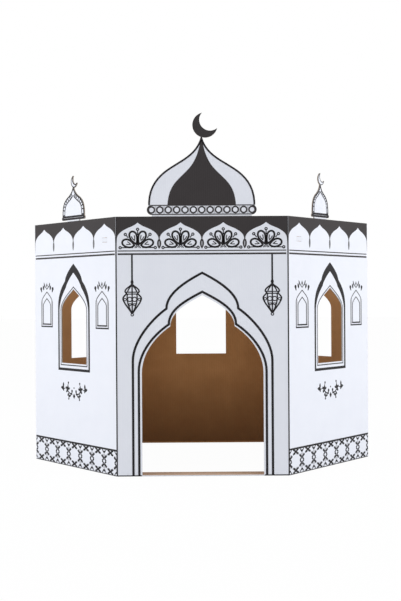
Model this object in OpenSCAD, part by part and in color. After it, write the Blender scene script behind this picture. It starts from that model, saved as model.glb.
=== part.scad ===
// Cardboard playhouse in the shape of a small domed hall.
// Six wall panels of corrugated board stand in a ring that is open at the top, with a cusped doorway
// in front, an arched window in each of the other five panels, and three flat domes above the walls.
// The origin is on the floor at the middle of the ring, +Z is up and the doorway faces -Y.

/* [Walls] */
// Width of each wall panel, crease to crease on the inside
panel_w = 596; // [560:2:640]
// Height of the walls
wall_h = 905; // [860:5:960]
// Thickness of the board
board_t = 4; // [3:0.5:6]
// Angle that a side panel is folded back from the front or back panel
corner_turn = 55; // [50:1:60]

/* [Flaps] */
// Width of the glue flap at each side corner
glue_flap_w = 45; // [30:1:60]
// Distance that the glue flap is cut back at its free corners
glue_flap_taper = 14; // [4:1:24]
// Depth of the floor flap that ties the two sides of the doorway together
floor_flap_d = 75; // [40:1:110]
// Distance that the floor flap is cut back at its free corners
floor_flap_taper = 22; // [5:1:40]
// Gap between each end of the floor flap and the crease of the side panel
floor_flap_gap = 3; // [1:0.5:8]

/* [Doorway] */
// Width of the doorway between its straight sides
door_w = 424; // [360:2:460]
// Height at which the sides begin to curve inwards
door_spring_z = 360; // [300:5:400]
// Width between the two cusps
door_cusp_w = 224; // [180:2:260]
// Height of the cusps
door_cusp_z = 522; // [480:2:550]
// Height of the point of the doorway
door_apex_z = 630; // [600:2:680]

/* [Windows] */
// Width of the windows in the four slanting panels
window_w = 184; // [140:2:230]
// Width of the window in the back panel
back_window_w = 212; // [160:2:260]
// Height of the sills above the floor
window_sill_z = 381; // [330:1:430]
// Height at which the window arches begin
window_spring_z = 577; // [520:1:600]
// Height of the points of the window arches
window_apex_z = 655; // [630:1:700]

/* [Main dome] */
// Width of the dome at its foot
dome_w = 372; // [320:1:400]
// Height of the point of the dome above the walls
dome_h = 274; // [240:1:310]
// Width of the round-ended band under the dome
band_w = 383; // [340:1:420]
// Height of that band
band_h = 35; // [28:1:46]
// Height of the band above the top of the walls
band_lift = 5.5; // [2:0.5:12]
// Width of the narrow stem that joins the point of the dome to the crescent
stem_w = 6; // [5:0.5:12]
// Outer radius of the crescent
crescent_r = 44; // [36:1:52]

/* [Carrier of the main dome] */
// Height of the strip behind the front panel
carrier_h = 120; // [100:1:150]
// Distance of the strip below the top of the walls
carrier_drop = 10; // [4:1:20]
// Distance from the front corner to the tongue at the end of each wing
tongue_u = 58; // [40:1:80]
// Height of the tongue
tongue_h = 15; // [10:1:24]
// Distance from the top of the walls to the middle of the tongue
tongue_drop = 78; // [60:1:95]
// Angle at which the tongue passes through the side panel
tongue_slope = 15; // [12:1:25]
// Room around the tongue in its slot
tongue_gap = 1; // [0.5:0.25:2]

/* [Side domes] */
// Distance from the front corner to the middle of the left dome
left_dome_u = 303; // [200:1:400]
// Distance from the front corner to the middle of the right dome
right_dome_u = 236; // [180:1:400]
// Width of the left dome at its foot
left_dome_w = 160; // [110:1:190]
// Width of the right dome at its foot
right_dome_w = 117; // [110:1:190]
// Height of the point of a side dome above the walls
side_dome_h = 124; // [100:1:150]
// Distance that the bar under a side dome reaches past it at each end
side_bar_reach = 4.5; // [2:0.5:8]
// Height of that bar
side_bar_h = 12; // [8:1:18]
// Height of that bar above the top of the walls
side_bar_lift = 6; // [3:1:12]
// Outer radius of the crescent on a side dome
side_crescent_r = 22; // [16:1:28]
// Width of the foot that is glued behind the wall
side_foot_w = 90; // [60:1:100]
// Height of that foot
side_foot_h = 75; // [50:1:100]

/* [Hidden] */
curve_steps = 12;
round_fn = 64;
fold_steps = 6;
cut_margin = 1;

// Corners of the ring, on the inner faces of the walls
side_dx = panel_w * cos(corner_turn);
side_dy = panel_w * sin(corner_turn);
front_right = [panel_w / 2, -side_dy];
back_right = [panel_w / 2, side_dy];
left_corner = [-panel_w / 2 - side_dx, 0];
right_corner = [panel_w / 2 + side_dx, 0];

// The back sheet stops short of the side corner, so that its glue flap lies inside the front sheet
side_turn = 180 - 2 * corner_turn;
side_panel_w = panel_w - board_t / sin(side_turn);
glue_crease = back_right + side_panel_w * [cos(corner_turn), -sin(corner_turn)];
// The front sheet runs on past the side corner and covers the fold of the back sheet
front_overlap = board_t / tan(corner_turn);

// The carrier is folded inside the front corners, one board further in
carrier_inset = board_t * tan(corner_turn / 2);
carrier_crease = front_right + [-carrier_inset, board_t];
carrier_top = wall_h - carrier_drop;
wing_l = tongue_u - carrier_inset;
tongue_run = 2 * board_t / tan(tongue_slope);

// Points on a cubic curve from p0 to p3, steered by p1 and p2
function curve(p0, p1, p2, p3) = [
    for (i = [0 : curve_steps])
        let (t = i / curve_steps, s = 1 - t)
            s * s * s * p0 + 3 * s * s * t * p1 + 3 * s * t * t * p2 + t * t * t * p3
];

// A closed outline from its right half, which runs from the foot up to the middle line
function both_halves(right) = concat(right, [
    for (i = [len(right) - 1 : -1 : 0])
        if (right[i].x > 0) [-right[i].x, right[i].y]
]);

// Right half of a pointed arch, from its spring to its point
function pointed_arch(half_w, spring_z, apex_z) =
    let (rise = apex_z - spring_z)
        curve([half_w, spring_z], [half_w, spring_z + 0.38 * rise],
              [0.42 * half_w, apex_z - 0.29 * rise], [0, apex_z]);

// Outline of a window, standing on the middle of its sill
function window_outline(w) =
    both_halves(concat([[w / 2, window_sill_z]], pointed_arch(w / 2, window_spring_z, window_apex_z)));

// Outline of the doorway: straight sides, a shoulder up to each cusp and a pointed head between the cusps
function door_outline() =
    let (side = door_w / 2, cusp = door_cusp_w / 2,
         shoulder = door_cusp_z - door_spring_z, head = door_apex_z - door_cusp_z)
        both_halves(concat(
            [[side, board_t]],
            curve([side, door_spring_z], [side, door_spring_z + 0.43 * shoulder],
                  [cusp + 0.5 * (side - cusp), door_cusp_z - 0.2 * shoulder], [cusp, door_cusp_z]),
            curve([cusp, door_cusp_z], [cusp, door_cusp_z + 0.45 * head],
                  [0.5 * cusp, door_apex_z - 0.27 * head], [0, door_apex_z])));

// Outline of the main dome above its band: a full bulge below and a hollow sweep up to the stem
function dome_outline() =
    let (half_w = dome_w / 2, foot = band_lift + band_h / 2, rise = dome_h - foot,
         turn_point = [0.483 * half_w, foot + 0.64 * rise])
        both_halves(concat(
            curve([half_w, foot], [1.055 * half_w, foot + 0.416 * rise],
                  turn_point + [0.17 * half_w, -0.08 * rise], turn_point),
            curve(turn_point, turn_point + [-0.162 * half_w, 0.076 * rise],
                  [stem_w / 2 + 0.078 * half_w, foot + 0.8 * rise], [stem_w / 2, dome_h])));

// Outline of a side dome above its bar: steep sides and a nearly straight taper up to the stem
function side_dome_outline(w) =
    let (half_w = w / 2, foot = side_bar_lift + side_bar_h / 2, rise = side_dome_h - foot,
         turn_point = [0.42 * half_w, foot + 0.73 * rise])
        both_halves(concat(
            curve([half_w, foot], [1.03 * half_w, foot + 0.46 * rise],
                  turn_point + [0.42 * half_w, -0.13 * rise], turn_point),
            curve(turn_point, turn_point + [-0.2 * half_w, 0.085 * rise],
                  [stem_w / 2 + 0.06 * half_w, foot + 0.88 * rise], [stem_w / 2, side_dome_h])));

// Points on the outside of a fold about a crease, where the heading changes from one panel to the next
function fold_arc(crease, heading, turn) = [
    for (i = [0 : fold_steps])
        let (a = heading - 90 + turn * i / fold_steps) crease + board_t * [cos(a), sin(a)]
];

// A folded sheet is its first heading and its panels, each given as its width and the turn after it.
// The creases lie on the inner face, and the board lies to the right of the way that the panels run.
function heading_at(heading, panels, i) =
    i == 0 ? heading : heading_at(heading, panels, i - 1) + panels[i - 1][1];
function crease_point(start, heading, panels, i) =
    i == 0 ? start :
        let (a = heading_at(heading, panels, i - 1))
            crease_point(start, heading, panels, i - 1) + panels[i - 1][0] * [cos(a), sin(a)];

// Plan of a folded sheet
function folded_plan(start, heading, panels) =
    let (n = len(panels),
         inner = [for (i = [0 : n]) crease_point(start, heading, panels, i)],
         folds = [for (i = [1 : n - 1])
             each fold_arc(inner[i], heading_at(heading, panels, i - 1), panels[i - 1][1])],
         first = inner[0] + board_t * [sin(heading), -cos(heading)],
         last_heading = heading_at(heading, panels, n - 1),
         last = inner[n] + board_t * [sin(last_heading), -cos(last_heading)],
         outer = concat([first], folds, [last]))
        concat(inner, [for (i = [len(outer) - 1 : -1 : 0]) outer[i]]);

// Turns a flat outline, drawn across and up, into a board with its inner face on the panel's line
module board() {
    rotate([90, 0, 0]) linear_extrude(board_t) children();
}

// Cuts a flat outline through the board of a panel
module cut() {
    translate([0, cut_margin, 0]) rotate([90, 0, 0]) linear_extrude(board_t + 2 * cut_margin) children();
}

// Places a panel that starts at a corner of the ring and runs in the given direction, seen from outside
module at_panel(corner, heading) {
    translate([corner.x, corner.y, 0]) rotate([0, 0, heading]) children();
}

module on_both_sides() {
    children();
    mirror([1, 0, 0]) children();
}

// Flat crescent that opens up and to the right, with the lowest point of its circle at the given height
module crescent(r, low) {
    centre = [0.29 * r, low + r];
    bite_r = 0.86 * r;
    bite_shift = 0.41 * r;
    difference() {
        translate(centre) circle(r, $fn = round_fn);
        translate(centre + [bite_shift, bite_shift]) circle(bite_r, $fn = round_fn);
    }
}

// Stem between the point of a dome and its crescent
module stem(top, r) {
    stem_reach = 0.15 * r;
    translate([-stem_w / 2, top - stem_reach]) square([stem_w, 2 * stem_reach]);
}

// Floor flap, which the front panel stands on along the fold between them
module floor_flap() {
    flap_half_w = panel_w / 2 - floor_flap_gap;
    translate([0, -side_dy, 0]) linear_extrude(board_t) polygon([
        [-flap_half_w, -board_t], [flap_half_w, -board_t], [flap_half_w, 0],
        [flap_half_w - floor_flap_taper, floor_flap_d], [-flap_half_w + floor_flap_taper, floor_flap_d],
        [-flap_half_w, 0]]);
}

// Corner that the fold of the floor flap rounds away
module floor_fold_cut() {
    flap_w = panel_w - 2 * floor_flap_gap;
    profile = concat(fold_arc([0, board_t], 270, 90), [[-board_t - cut_margin, -cut_margin]]);
    translate([-flap_w / 2, -side_dy, 0]) rotate([90, 0, 90]) linear_extrude(flap_w) polygon(profile);
}

// Cuts back the free corners of the glue flap
module glue_flap_cut() {
    far = glue_flap_w + cut_margin;
    rise = glue_flap_taper * far / glue_flap_w;
    at_panel(glue_crease, corner_turn) cut() {
        polygon([[0, 0], [-far, rise], [-far, -cut_margin], [0, -cut_margin]]);
        polygon([[0, wall_h], [-far, wall_h - rise], [-far, wall_h + cut_margin],
                 [0, wall_h + cut_margin]]);
    }
}

// Window and tongue slot of the right side panel
module side_panel_cut() {
    slot_low = wall_h - tongue_drop - tongue_h / 2 - tongue_gap;
    at_panel(front_right, corner_turn) cut() {
        translate([panel_w / 2, 0]) polygon(window_outline(window_w));
        translate([tongue_u - tongue_gap, slot_low])
            square([tongue_run + 2 * tongue_gap, tongue_h + 2 * tongue_gap]);
    }
}

module front_wall() {
    start = left_corner + front_overlap * [-cos(corner_turn), sin(corner_turn)];
    end_panel_w = panel_w + front_overlap;
    panels = [[end_panel_w, corner_turn], [panel_w, corner_turn], [end_panel_w, 0]];
    color("white") difference() {
        union() {
            linear_extrude(wall_h) polygon(folded_plan(start, -corner_turn, panels));
            floor_flap();
        }
        at_panel([0, -side_dy], 0) cut() polygon(door_outline());
        floor_fold_cut();
        on_both_sides() side_panel_cut();
    }
}

module back_wall() {
    start = glue_crease - glue_flap_w * [cos(corner_turn), sin(corner_turn)];
    panels = [[glue_flap_w, side_turn], [side_panel_w, corner_turn], [panel_w, corner_turn],
              [side_panel_w, side_turn], [glue_flap_w, 0]];
    color("whitesmoke") difference() {
        linear_extrude(wall_h) polygon(folded_plan(start, corner_turn, panels));
        at_panel([0, side_dy], 180) cut() polygon(window_outline(back_window_w));
        on_both_sides() {
            at_panel(right_corner, 180 - corner_turn) cut()
                translate([panel_w / 2, 0]) polygon(window_outline(window_w));
            glue_flap_cut();
        }
    }
}

// Tongue at the end of the right wing, which comes out through the slot of the side panel
module carrier_tongue() {
    tongue_low = wall_h - tongue_drop - tongue_h / 2;
    at_panel(carrier_crease, corner_turn)
        translate([wing_l, 0, tongue_low]) linear_extrude(tongue_h) polygon([
            [-board_t, 0], [-board_t, -board_t], [0, -board_t],
            [tongue_run, -3 * board_t], [tongue_run, -2 * board_t], [0, 0]]);
}

module main_dome() {
    neck_w = band_w - band_h;
    wing_end = carrier_crease + wing_l * [cos(corner_turn), sin(corner_turn)];
    panels = [[wing_l, corner_turn], [panel_w - 2 * carrier_inset, corner_turn], [wing_l, 0]];
    color("gainsboro") union() {
        translate([0, 0, carrier_top - carrier_h]) linear_extrude(carrier_h)
            polygon(folded_plan([-wing_end.x, wing_end.y], -corner_turn, panels));
        at_panel([0, carrier_crease.y], 0) board() translate([0, wall_h]) {
            translate([-neck_w / 2, -carrier_drop - carrier_h / 2])
                square([neck_w, carrier_h / 2 + carrier_drop + band_lift + band_h]);
            for (end = [-1, 1])
                translate([end * neck_w / 2, band_lift + band_h / 2]) circle(d = band_h, $fn = round_fn);
            polygon(dome_outline());
            stem(dome_h, crescent_r);
            crescent(crescent_r, dome_h);
        }
        on_both_sides() carrier_tongue();
    }
}

// Flat side dome on its foot, drawn about its middle line and the top of the wall
module side_dome(w) {
    bar_end = side_bar_h / 2;
    bar_w = w + 2 * side_bar_reach;
    board() translate([0, wall_h]) {
        translate([-side_foot_w / 2, -side_foot_h])
            square([side_foot_w, side_foot_h + side_bar_lift + bar_end]);
        translate([-bar_w / 2 + bar_end, side_bar_lift])
            square([bar_w - 2 * bar_end, side_bar_h]);
        for (end = [-1, 1])
            translate([end * (bar_w / 2 - bar_end), side_bar_lift + bar_end])
                circle(bar_end, $fn = round_fn);
        polygon(side_dome_outline(w));
        stem(side_dome_h, side_crescent_r);
        crescent(side_crescent_r, side_dome_h);
    }
}

module left_dome() {
    color("gainsboro") at_panel(left_corner, -corner_turn)
        translate([panel_w - left_dome_u, board_t, 0]) side_dome(left_dome_w);
}

module right_dome() {
    color("gainsboro") at_panel(front_right, corner_turn)
        translate([right_dome_u, board_t, 0]) side_dome(right_dome_w);
}

front_wall();
back_wall();
main_dome();
left_dome();
right_dome();
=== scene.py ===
"""Dresses the folded boards of a cardboard playhouse with paper, cut edges and print on a plain stage."""

import math

import bpy
from mathutils import Matrix, Vector
from mathutils.geometry import tessellate_polygon


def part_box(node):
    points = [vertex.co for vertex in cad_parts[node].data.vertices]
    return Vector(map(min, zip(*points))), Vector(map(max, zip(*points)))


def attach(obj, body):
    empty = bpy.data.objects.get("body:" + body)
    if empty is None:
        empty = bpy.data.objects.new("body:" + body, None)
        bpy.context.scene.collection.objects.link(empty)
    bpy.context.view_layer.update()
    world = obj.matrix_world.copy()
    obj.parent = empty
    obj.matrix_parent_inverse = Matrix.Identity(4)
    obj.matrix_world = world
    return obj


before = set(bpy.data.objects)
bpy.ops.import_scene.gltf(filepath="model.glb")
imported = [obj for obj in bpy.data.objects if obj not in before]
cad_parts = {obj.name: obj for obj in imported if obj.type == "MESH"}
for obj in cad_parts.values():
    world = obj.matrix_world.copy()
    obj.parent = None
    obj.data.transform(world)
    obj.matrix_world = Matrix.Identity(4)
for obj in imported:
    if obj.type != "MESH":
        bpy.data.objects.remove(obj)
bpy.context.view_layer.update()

bl_info = {
    "name": "Cardboard playhouse",
    "version": (1, 0, 0),
    "blender": (4, 5, 0),
    "location": "3D View > Sidebar > Playhouse",
    "description": "Paper liners, cut edges and black print for a folded cardboard playhouse",
    "category": "Object",
}

MM = 0.001
BODY = "root"
PLACE = "board_place"
WALL_PANELS = ("right", "back_right", "back", "back_left", "left")
ARCHES = 4

# The ink reaches a little into the board, and its shapes differ in height so that none lie flush.
INK_ROOT = 0.05 * MM
LIFT_STEP = 0.03
LIFT_LEVELS = 9
UNDER = 0.7
OVER = 1.6

# Least share of a face's direction that points in or out of its panel, and most that an upright one rises.
FACE_ON = 0.955
LEVEL = 0.1

# Depths in boards: past the board of a panel, and past the two that lie on each other at its ends.
PAST_ONE = 1.02
PAST_TWO = 2.2

# Fineness of the fibres in the two papers.
WHITE_FINENESS = 420.0
BROWN_FINENESS = 360.0

# Radius, line width and steps of the small rings at the tips of the stems.
BEAD = (3.9, 3.6, 12)


def paint(red, green, blue):
    """A colour given in the usual 0 to 255 steps, as Blender's linear values."""
    steps = [c / 255 for c in (red, green, blue)]
    return tuple(c / 12.92 if c <= 0.04045 else ((c + 0.055) / 1.055) ** 2.4 for c in steps)


def length(name, default, description):
    """A length in metres for the sidebar."""
    return bpy.props.FloatProperty(
        name=name, description=description, default=default, unit="LENGTH", precision=4
    )


def colour(name, default, description):
    """A colour for the sidebar."""
    return bpy.props.FloatVectorProperty(
        name=name, description=description, default=default, subtype="COLOR", size=3, min=0.0, max=1.0
    )


class PlayhouseSizes(bpy.types.PropertyGroup):
    """Sizes of the board and of its print."""

    panel_w: length("Panel width", 0.596, "Width of a wall panel between its creases")
    wall_h: length("Wall height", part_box("back_wall")[1].z, "Height of the walls, taken from the frame")
    depth: length("Half depth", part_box("back_wall")[1].y, "Distance from the middle to the back wall")
    board_t: length("Board thickness", 0.004, "Thickness of the corrugated board")
    flute_pitch: length("Flute pitch", 0.0076, "Distance between the flutes inside the board")
    ink_lift: length("Ink lift", 0.00035, "Height of the printed ink above the board")
    bold_w: length("Bold line", 0.006, "Width of the bold printed lines")
    fine_w: length("Fine line", 0.0036, "Width of the fine printed lines")
    door_line_w: length("Door line", 0.0082, "Width of the lines round the doorway")
    frieze_line_z: length("Frieze line", 0.7745, "Height of the bold line under the frieze")
    baseboard_h: length("Baseboard height", 0.093, "Height of the printed baseboard")
    lantern_x: length("Lantern place", 0.244, "Distance of each lantern from the middle of the doorway")
    lantern_z: length("Lantern height", 0.6825, "Height of the top of each lantern")
    niche_x: length("Niche place", 0.205, "Distance of each niche from the middle of its panel")
    left_dome_x: length("Left dome place", -0.005, "Distance of the left dome from the middle of its panel")
    right_dome_x: length("Right dome place", -0.062, "Distance of the right dome from the middle")
    left_dome_w: length("Left dome width", 0.16, "Width of the left dome at its foot")
    right_dome_w: length("Right dome width", 0.117, "Width of the right dome at its foot")


class PlayhouseColours(bpy.types.PropertyGroup):
    """Colours of the papers, the ink and the stage."""

    white: colour("White liner", paint(229, 231, 238), "White paper on the outside of the board")
    white_shade: colour("White shade", paint(215, 218, 228), "Darker tone in the white paper")
    kraft: colour("Kraft liner", paint(201, 152, 99), "Brown paper on the inside of the board")
    kraft_shade: colour("Kraft shade", paint(163, 117, 71), "Darker tone in the brown paper")
    # Painted shade: this darker brown is laid over the kraft near the floor, where the inside of the house
    # lies in shade.
    kraft_foot: colour("Kraft foot", paint(95, 62, 29), "Brown paper where it has darkened near the floor")
    fleck: colour("Fleck", paint(92, 62, 38), "Dark flecks in the brown paper")
    fluting: colour("Fluting", paint(206, 196, 184), "Pale paper of the flutes in a cut edge")
    fluting_shade: colour("Fluting shade", paint(178, 165, 150), "Darker tone in the paper of the flutes")
    hollow: colour("Flute hollow", paint(112, 96, 80), "Shade inside the open flutes of a cut edge")
    black: colour("Black ink", paint(43, 39, 40), "Solid black print")
    black_worn: colour("Worn black", paint(60, 56, 57), "Black print where the flutes show through")
    line: colour("Line ink", paint(18, 16, 19), "Dense black print of the line drawings")
    line_worn: colour("Worn line", paint(36, 33, 36), "Line print where the flutes show through")
    grey: colour("Grey ink", paint(176, 177, 183), "Light tint printed with fine dots")
    grey_worn: colour("Pale grey", paint(196, 197, 203), "Light tint where the flutes show through")
    floor: colour("Floor", (0.9, 0.9, 0.9), "Plain pale floor")


class PlayhouseStage(bpy.types.PropertyGroup):
    """Light levels and the camera."""

    sky: bpy.props.FloatProperty(
        name="Sky", description="Level of the even light from all round", default=0.655
    )
    side_light: bpy.props.FloatProperty(
        name="Side light", description="Power of each large soft light", default=110.0, unit="POWER"
    )
    lens: bpy.props.FloatProperty(
        name="Lens", description="Focal length of the camera in millimetres", default=73.55,
        subtype="DISTANCE_CAMERA",
    )


def curve(p0, p1, p2, p3, steps=12):
    """Points on a cubic curve from p0 to p3, steered by p1 and p2."""
    points = []
    for i in range(steps + 1):
        t = i / steps
        s = 1.0 - t
        weights = (s * s * s, 3 * s * s * t, 3 * s * t * t, t * t * t)
        points.append(tuple(sum(w * p[k] for w, p in zip(weights, (p0, p1, p2, p3))) for k in (0, 1)))
    return points


def joined(*paths):
    """One path from several that meet end to end."""
    points = list(paths[0])
    for path in paths[1:]:
        points += path[1:] if math.dist(points[-1], path[0]) < 1e-6 else path
    return points


def over_middle(right):
    """A path up the right side, carried on down the left side."""
    left = [(-x, y) for x, y in reversed(right)]
    return joined(right, left)


def circle(centre, radius, steps=20, squash=1.0):
    """Points round a circle, or round an upright oval where squash isn't 1."""
    angles = [2 * math.pi * i / steps for i in range(steps)]
    return [(centre[0] + squash * radius * math.cos(a), centre[1] + radius * math.sin(a)) for a in angles]


def arc(centre, radius, first, sweep, steps):
    """Points along part of a circle, from a first angle through a sweep."""
    angles = [first + sweep * i / steps for i in range(steps + 1)]
    return [(centre[0] + radius * math.cos(a), centre[1] + radius * math.sin(a)) for a in angles]


def moved(strokes, place):
    """The strokes of a sketch with each of their points put elsewhere by a function."""
    return [(kind, size, *[place(x, y) for x, y in points]) for kind, size, *points in strokes]


def keep_place(mesh, domain, values):
    """Keeps places on the panel with a mesh, for the materials."""
    mesh.attributes.new(PLACE, "FLOAT_VECTOR", domain).data.foreach_set("vector", values)


def area(points):
    """Signed area of an outline, above zero where it runs anticlockwise."""
    pairs = zip(points, points[1:] + points[:1])
    return 0.5 * sum(a[0] * b[1] - b[0] * a[1] for a, b in pairs)


def rails(path, left, right, closed):
    """The two edges of a line, at the given distances to the left and right of its path."""
    sharpest = 0.4
    count = len(path)
    left_edge = []
    right_edge = []
    for i, (x, y) in enumerate(path):
        before = Vector(path[i - 1]) if i or closed else None
        after = Vector(path[(i + 1) % count]) if i < count - 1 or closed else None
        here = Vector((x, y))
        come = (here - before).normalized() if before else (after - here).normalized()
        go = (after - here).normalized() if after else come
        side = Vector((-come.y, come.x))
        middle = (side + Vector((-go.y, go.x))).normalized()
        reach = 1.0 / max(sharpest, middle.dot(side))
        left_edge.append(tuple(here + middle * left * reach))
        right_edge.append(tuple(here - middle * right * reach))
    return left_edge, right_edge


class Drawing:
    """Shapes of one ink, drawn in millimetres across and up a panel as it is seen from outside."""

    def __init__(self, lift):
        self.lift = lift
        self.shapes = 0
        self.verts = []
        self.faces = []

    def add(self, points, faces):
        """Adds a flat shape as a thin closed slab, a little thicker or thinner than the one before it."""
        first = len(self.verts)
        count = len(points)
        lift = self.lift * (1.0 + LIFT_STEP * (self.shapes % LIFT_LEVELS))
        self.shapes += 1
        edges = [(f[i], f[(i + 1) % len(f)]) for f in faces for i in range(len(f))]
        known = set(edges)
        self.verts += [(x * MM, -lift, y * MM) for x, y in points]
        self.verts += [(x * MM, INK_ROOT, y * MM) for x, y in points]
        self.faces += [tuple(first + i for i in f) for f in faces]
        self.faces += [tuple(first + count + i for i in reversed(f)) for f in faces]
        for a, b in edges:
            if (b, a) not in known:
                self.faces.append((first + a, first + count + a, first + count + b, first + b))

    def fill(self, outline, holes=()):
        """Fills an outline, apart from its holes."""
        rings = [outline if area(outline) > 0 else outline[::-1]]
        rings += [hole if area(hole) < 0 else hole[::-1] for hole in holes]
        points = [p for ring in rings for p in ring]
        faces = []
        for corners in tessellate_polygon([[Vector((x, y, 0.0)) for x, y in ring] for ring in rings]):
            turn = area([points[i] for i in corners])
            if abs(turn) > 1e-9:
                faces.append(tuple(corners) if turn > 0 else tuple(reversed(corners)))
        self.add(points, faces)

    def line(self, path, width, closed=False):
        """Draws a line of even width along the middle of a path."""
        self.strip(path, width / 2, width / 2, closed)

    def strip(self, path, left, right, closed=False):
        """Draws a line that reaches the given distances to the left and right of its path."""
        left_edge, right_edge = rails(path, left, right, closed)
        count = len(path)
        spans = count if closed else count - 1
        faces = []
        for i in range(spans):
            j = (i + 1) % count
            faces.append((count + i, count + j, j, i))
        self.add(left_edge + right_edge, faces)

    def box(self, x0, y0, x1, y1):
        """Fills a rectangle."""
        self.fill([(x0, y0), (x1, y0), (x1, y1), (x0, y1)])

    def dot(self, centre, radius, steps=14, squash=1.0):
        """Fills a circle or an upright oval."""
        self.fill(circle(centre, radius, steps, squash))

    def ring(self, centre, radius, width, steps=20):
        """Draws a circle as a line."""
        self.line(circle(centre, radius, steps), width, closed=True)

    def leaf(self, root, tip, width):
        """Fills a pointed leaf between two points."""
        start = Vector(root)
        end = Vector(tip)
        along = end - start
        side = Vector((-along.y, along.x)).normalized() * width * 0.66
        near_root = start + along * 0.3
        near_tip = end - along * 0.35
        one = curve(start, near_root + side, near_tip + side, end, 6)
        two = curve(end, near_tip - side, near_root - side, start, 6)
        self.fill(one[:-1] + two[:-1])

    def sketch(self, strokes):
        """Draws strokes, each given as its kind, its size and its points."""
        for kind, size, *points in strokes:
            if kind == "line":
                self.line(points, size)
            elif kind == "loop":
                self.line(points, size, closed=True)
            elif kind == "leaf":
                self.leaf(*points, size)
            elif kind == "dot":
                self.dot(points[0], *size)
            elif kind == "ring":
                self.ring(points[0], *size)
            else:
                self.fill(points)

    def both(self, strokes):
        """Draws strokes on the right and then their mirror images on the left."""
        self.sketch(strokes)
        self.sketch(moved(strokes, lambda x, y: (-x, y)))

    def mesh(self, name):
        """The drawing as a mesh, with its place on the panel."""
        mesh = bpy.data.meshes.new(name)
        mesh.from_pydata(self.verts, [], self.faces)
        keep_place(mesh, "POINT", [c for x, _, z in self.verts for c in (x, 0.0, z)])
        return mesh


def new_drawing(context, layer=1.0):
    """An empty drawing; a higher layer lies on top of a lower one."""
    return Drawing(context.scene.playhouse_sizes.ink_lift * layer)


def crease_ring(context):
    """Half the width of a panel, half the depth between the creases and the turn at the front corners."""
    sizes = context.scene.playhouse_sizes
    reach = sizes.depth - sizes.board_t
    return sizes.panel_w / 2, reach, math.asin(reach / sizes.panel_w)


def panel_places(context):
    """Middle of the foot of each panel's outer face and the way it is turned, by the panel's name."""
    sizes = context.scene.playhouse_sizes
    _, reach, turn = crease_ring(context)
    slant_x = (sizes.panel_w + math.cos(turn) * sizes.panel_w) / 2
    middles = {
        "front": (0.0, -reach, 0.0),
        "right": (slant_x, -reach / 2, turn),
        "back_right": (slant_x, reach / 2, math.pi - turn),
        "back": (0.0, reach, math.pi),
        "back_left": (-slant_x, reach / 2, math.pi + turn),
        "left": (-slant_x, -reach / 2, -turn),
    }
    return {
        name: (x + sizes.board_t * math.sin(a), y - sizes.board_t * math.cos(a), a)
        for name, (x, y, a) in middles.items()
    }


def dome_places(context):
    """Middle of the outer face of each dome, at the floor, and the way it is turned."""
    sizes = context.scene.playhouse_sizes
    panels = panel_places(context)
    inset = sizes.board_t
    places = {}
    for name, panel, along in (
        ("main", "front", 0.0),
        ("left", "left", sizes.left_dome_x),
        ("right", "right", sizes.right_dome_x),
    ):
        x, y, a = panels[panel]
        x += along * math.cos(a) - inset * math.sin(a)
        y += along * math.sin(a) + inset * math.cos(a)
        places[name] = (x, y, a)
    return places


def feed(tree, node, inputs):
    """Sets inputs of a node to values, or joins them to pairs of a node and its output."""
    for name, value in inputs.items():
        if isinstance(value, tuple) and isinstance(value[0], bpy.types.Node):
            tree.links.new(value[0].outputs[value[1]], node.inputs[name])
        else:
            node.inputs[name].default_value = value


def new_node(tree, kind, inputs=None, **settings):
    """A new node with its settings, and with its inputs set or joined."""
    node = tree.nodes.new(kind)
    for name, value in settings.items():
        setattr(node, name, value)
    feed(tree, node, inputs or {})
    return node


def maths(tree, operation, *values):
    """A maths node whose inputs are numbers or pairs of a node and its output."""
    return new_node(tree, "ShaderNodeMath", dict(enumerate(values)), operation=operation)


def node_group(name, kind, inputs, outputs):
    """A new node group with its sockets, by name and kind of value, and its input node."""
    tree = bpy.data.node_groups.new(name, kind)
    for way, sockets in (("INPUT", inputs), ("OUTPUT", outputs)):
        for socket, value in sockets.items():
            tree.interface.new_socket(socket, in_out=way, socket_type="NodeSocket" + value)
    return tree, tree.nodes.new("NodeGroupInput")


def shared(build):
    """The node group that a function of the same name builds, built once."""
    return bpy.data.node_groups.get(build.__name__) or build()


def print_rows():
    """Geometry Nodes tree that repeats a drawing in a row on each panel."""
    tree, start = node_group(
        "print_rows", "GeometryNodeTree",
        {"Geometry": "Geometry", "Count": "Int", "Pitch": "Float", "Panels": "Object", "Ink": "Material"},
        {"Geometry": "Geometry"},
    )
    gaps = maths(tree, "SUBTRACT", (start, "Count"), 1.0)
    row_w = maths(tree, "MULTIPLY", (gaps, 0), (start, "Pitch"))
    half_w = maths(tree, "MULTIPLY", (row_w, 0), -0.5)
    row_start = new_node(tree, "ShaderNodeCombineXYZ", {"X": (half_w, 0)})
    step = new_node(tree, "ShaderNodeCombineXYZ", {"X": (start, "Pitch")})
    row = new_node(tree, "GeometryNodeMeshLine", {
        "Count": (start, "Count"), "Start Location": (row_start, "Vector"), "Offset": (step, "Vector"),
    })
    on_row = new_node(tree, "GeometryNodeInstanceOnPoints", {
        "Points": (row, "Mesh"), "Instance": (start, "Geometry"),
    })
    panels = new_node(tree, "GeometryNodeObjectInfo", {"Object": (start, "Panels")})
    turn = new_node(tree, "GeometryNodeInputNamedAttribute", {"Name": "turn"}, data_type="FLOAT")
    turned = new_node(tree, "ShaderNodeCombineXYZ", {"Z": (turn, "Attribute")})
    on_panels = new_node(tree, "GeometryNodeInstanceOnPoints", {
        "Points": (panels, "Geometry"), "Instance": (on_row, "Instances"), "Rotation": (turned, "Vector"),
    })
    real = new_node(tree, "GeometryNodeRealizeInstances", {"Geometry": (on_panels, "Instances")})
    inked = new_node(tree, "GeometryNodeSetMaterial", {
        "Geometry": (real, "Geometry"), "Material": (start, "Ink"),
    })
    new_node(tree, "NodeGroupOutput", {"Geometry": (inked, "Geometry")})
    return tree


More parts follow.
